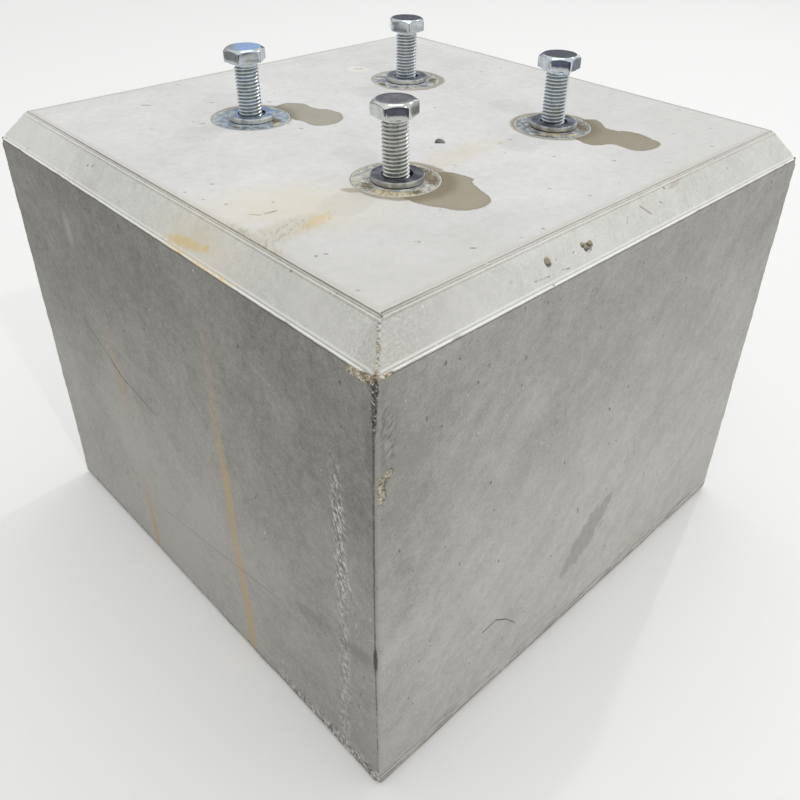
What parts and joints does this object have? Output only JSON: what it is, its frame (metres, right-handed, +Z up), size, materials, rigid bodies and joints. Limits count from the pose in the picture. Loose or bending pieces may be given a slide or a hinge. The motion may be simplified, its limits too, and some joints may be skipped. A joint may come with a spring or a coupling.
{
  "type": "concrete deck pier block",
  "caption": "Square cast concrete pier block with a chamfered head, flanged threaded sockets set in its top, and a washer and part-screwed hex bolt in each.",
  "frame": {"origin": "middle of the block's underside, on the surface that it stands on", "axes": "+Z up through the head; the left-hand face in the picture looks along -X and the right-hand face along -Y, with the worn front corner at -X -Y"},
  "size_m": [0.3, 0.3, 0.2862],
  "materials": {
    "concrete": "fair-faced cast concrete, pale trowelled head and darker formed sides, with rust runs and air holes",
    "galvanised_socket": "dull galvanised steel with cement residue and rust",
    "zinc_washer": "zinc-plated steel, satin",
    "zinc_bolt": "bright zinc-plated steel"
  },
  "bodies": {
    "root": {"concrete_block": "concrete", "socket_front": "galvanised_socket", "socket_left": "galvanised_socket", "socket_right": "galvanised_socket", "socket_back": "galvanised_socket", "washer_front": "zinc_washer", "washer_left": "zinc_washer", "washer_right": "zinc_washer", "washer_back": "zinc_washer", "bolt_front": "zinc_bolt", "bolt_left": "zinc_bolt", "bolt_right": "zinc_bolt", "bolt_back": "zinc_bolt"}
  },
  "joints": []
}
